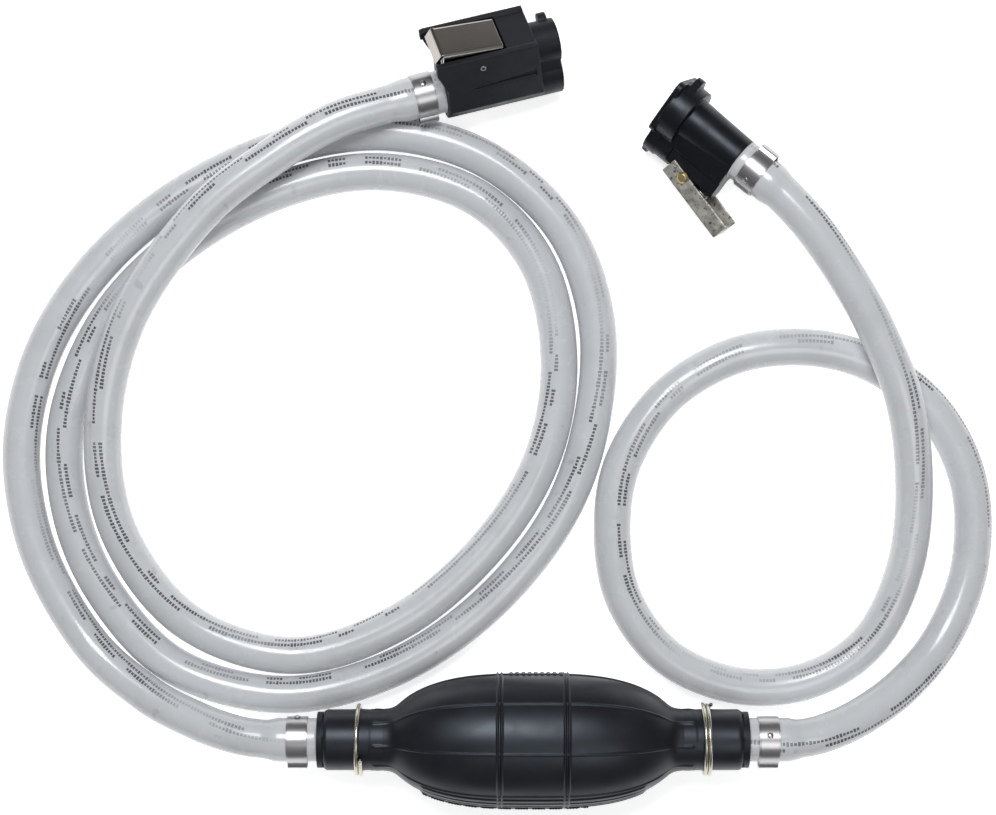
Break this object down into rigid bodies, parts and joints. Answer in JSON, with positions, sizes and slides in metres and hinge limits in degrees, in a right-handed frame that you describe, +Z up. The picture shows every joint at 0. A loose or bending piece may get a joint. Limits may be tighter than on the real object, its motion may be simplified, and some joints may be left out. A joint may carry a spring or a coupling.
{
  "type": "siphon bulb pump",
  "caption": "Fuel line with a rubber squeeze bulb and its check valves, two coiled hoses held by band clamps, and a quick connector with a sprung latch at each end.",
  "frame": {"origin": "on the plane the line lies on, under the middle of the bulb assembly", "axes": "+X along the bulb's axis towards the tank connector's hose, +Z up from the plane; the hoses lie on the +Y side"},
  "size_m": [0.419, 0.3358, 0.0567],
  "materials": {
    "bulb_rubber": "satin black moulded rubber",
    "collar_plastic": "black moulded plastic",
    "valve_plastic": "natural plastic",
    "valve_spring": "spring steel wire",
    "ring_wire": "nickel-plated wire",
    "band_steel": "stainless band",
    "hose_pvc": "light grey PVC",
    "engine_plastic": "black moulded nylon",
    "latch_steel": "brushed stainless sheet",
    "pin_steel": "plain steel",
    "seal_rubber": "black rubber",
    "brass": "turned brass",
    "tank_plastic": "black moulded plastic",
    "lever_steel": "galvanised sheet"
  },
  "bodies": {
    "line": {"bulb_shell": "bulb_rubber", "inlet_valve_body": "collar_plastic", "outlet_valve_body": "collar_plastic", "inlet_valve_cage": "valve_plastic", "outlet_valve_cage": "valve_plastic", "outlet_valve_seat": "valve_plastic", "inlet_check_spring": "valve_spring", "outlet_check_spring": "valve_spring", "inlet_wire_ring": "ring_wire", "outlet_wire_ring": "ring_wire", "inlet_hose_clamp": "band_steel", "outlet_hose_clamp": "band_steel", "tank_hose": "hose_pvc", "engine_hose": "hose_pvc", "engine_connector_body": "engine_plastic", "engine_barb": "engine_plastic", "engine_hose_clamp": "band_steel", "latch_pin": "pin_steel", "latch_spring": "valve_spring", "engine_o_ring": "seal_rubber", "engine_poppet_spring": "valve_spring", "tank_connector_body": "tank_plastic", "tank_barb": "tank_plastic", "tank_hose_clamp": "band_steel", "lever_pin": "brass", "lever_spring": "valve_spring", "tank_o_ring": "seal_rubber", "tank_poppet_spring": "valve_spring"},
    "front_grip": {"front_grip_pad": "bulb_rubber"},
    "rear_grip": {"rear_grip_pad": "bulb_rubber"},
    "inlet_check": {"inlet_check_disc": "valve_plastic"},
    "outlet_check": {"outlet_check_disc": "valve_plastic"},
    "engine_latch": {"latch_plate": "latch_steel"},
    "engine_valve": {"engine_poppet": "brass"},
    "tank_lever": {"release_lever": "lever_steel"},
    "tank_valve": {"tank_poppet": "brass"}
  },
  "joints": [
    {"name": "front_squeeze", "type": "slide", "parent": "line", "child": "front_grip", "axis": [0, 1, 0], "range_m": [0, 0.012], "stiffness_N_per_m": 2000, "deforming": ["bulb_shell"]},
    {"name": "rear_squeeze", "type": "slide", "parent": "line", "child": "rear_grip", "axis": [0, -1, 0], "range_m": [0, 0.012], "stiffness_N_per_m": 2000, "deforming": ["bulb_shell"]},
    {"name": "inlet_check_slide", "type": "slide", "parent": "line", "child": "inlet_check", "axis": [-1, 0, 0], "range_m": [0, 0.002], "stiffness_N_per_m": 80, "springref_m": -0.002, "deforming": ["inlet_check_spring"]},
    {"name": "outlet_check_slide", "type": "slide", "parent": "line", "child": "outlet_check", "axis": [-1, 0, 0], "range_m": [0, 0.002], "stiffness_N_per_m": 80, "springref_m": -0.002, "deforming": ["outlet_check_spring"]},
    {"name": "latch_press", "type": "hinge", "parent": "line", "child": "engine_latch", "pos_m": [-0.02399, 0.28726, 0.03214], "axis": [0.2811, -0.7522, 0.596], "range_deg": [0, 6], "stiffness_Nm_per_rad": 1.2, "springref_deg": -2.86, "deforming": ["latch_spring"]},
    {"name": "engine_poppet_slide", "type": "slide", "parent": "line", "child": "engine_valve", "axis": [-0.9587, -0.2479, 0.1392], "range_m": [0, 0.0025], "stiffness_N_per_m": 900, "springref_m": -0.004, "deforming": ["engine_poppet_spring"]},
    {"name": "lever_press", "type": "hinge", "parent": "line", "child": "tank_lever", "pos_m": [0.06596, 0.2367, 0.01039], "axis": [-0.393, -0.2212, 0.8925], "range_deg": [0, 12], "stiffness_Nm_per_rad": 0.9, "springref_deg": -5.73, "deforming": ["lever_spring"]},
    {"name": "tank_poppet_slide", "type": "slide", "parent": "line", "child": "tank_valve", "axis": [0.7522, -0.6357, 0.1736], "range_m": [0, 0.0025], "stiffness_N_per_m": 900, "springref_m": -0.004, "deforming": ["tank_poppet_spring"]}
  ],
  "couplings": [
    {"joint": "rear_squeeze", "follows": "front_squeeze", "ratio": 1}
  ]
}
